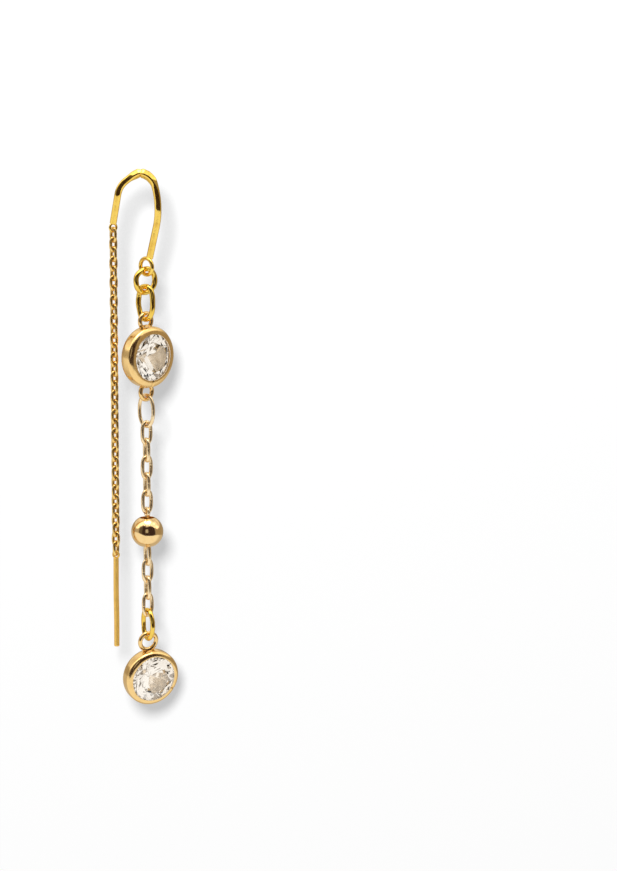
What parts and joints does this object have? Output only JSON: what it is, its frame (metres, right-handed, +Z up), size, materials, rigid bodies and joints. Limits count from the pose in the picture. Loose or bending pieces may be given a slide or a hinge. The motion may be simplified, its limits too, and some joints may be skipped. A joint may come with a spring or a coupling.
{
  "type": "threader earring",
  "caption": "Gold threader earring: an ear wire with a fine chain and straight post behind the lobe, and a drop of rings, links, a ball bead and round bezel-set clear stones in front.",
  "frame": {"origin": "centre of the wire at the crown of the ear arch, where it sits in the ear", "axes": "+Z up, +X towards the side that the stones hang on, +Y away from the viewer; the arch lies in the XZ plane"},
  "size_m": [0.0085, 0.0076, 0.0709],
  "materials": {
    "yellow_gold": "polished yellow gold plating",
    "chain_gold": "satin gold plating, slightly antique",
    "pale_gold": "polished pale gold plating",
    "clear_stone": "polished round brilliant, clear"
  },
  "bodies": {
    "hanging_parts": {"ear_arch": "yellow_gold", "threader_chain": "chain_gold", "threader_post": "chain_gold", "jump_ring_upper": "yellow_gold", "jump_ring_middle": "yellow_gold", "jump_ring_lower": "yellow_gold", "upper_bezel": "pale_gold", "upper_stone": "clear_stone", "long_link": "pale_gold", "bead": "pale_gold", "bead_pin": "pale_gold", "drop_link_1": "pale_gold", "drop_link_2": "pale_gold", "drop_link_3": "pale_gold", "drop_link_4": "pale_gold", "drop_link_5": "pale_gold", "tail_link_1": "pale_gold", "tail_link_2": "pale_gold", "tail_link_3": "pale_gold", "tail_link_4": "pale_gold"},
    "drop": {"lower_bezel": "pale_gold", "lower_stone": "clear_stone"}
  },
  "joints": [
    {"name": "drop_swing", "type": "hinge", "parent": "hanging_parts", "child": "drop", "pos_m": [0.00055, 0.00092, -0.06146], "axis": [0.5, -0.866, 0], "range_deg": [-30, 60]}
  ]
}
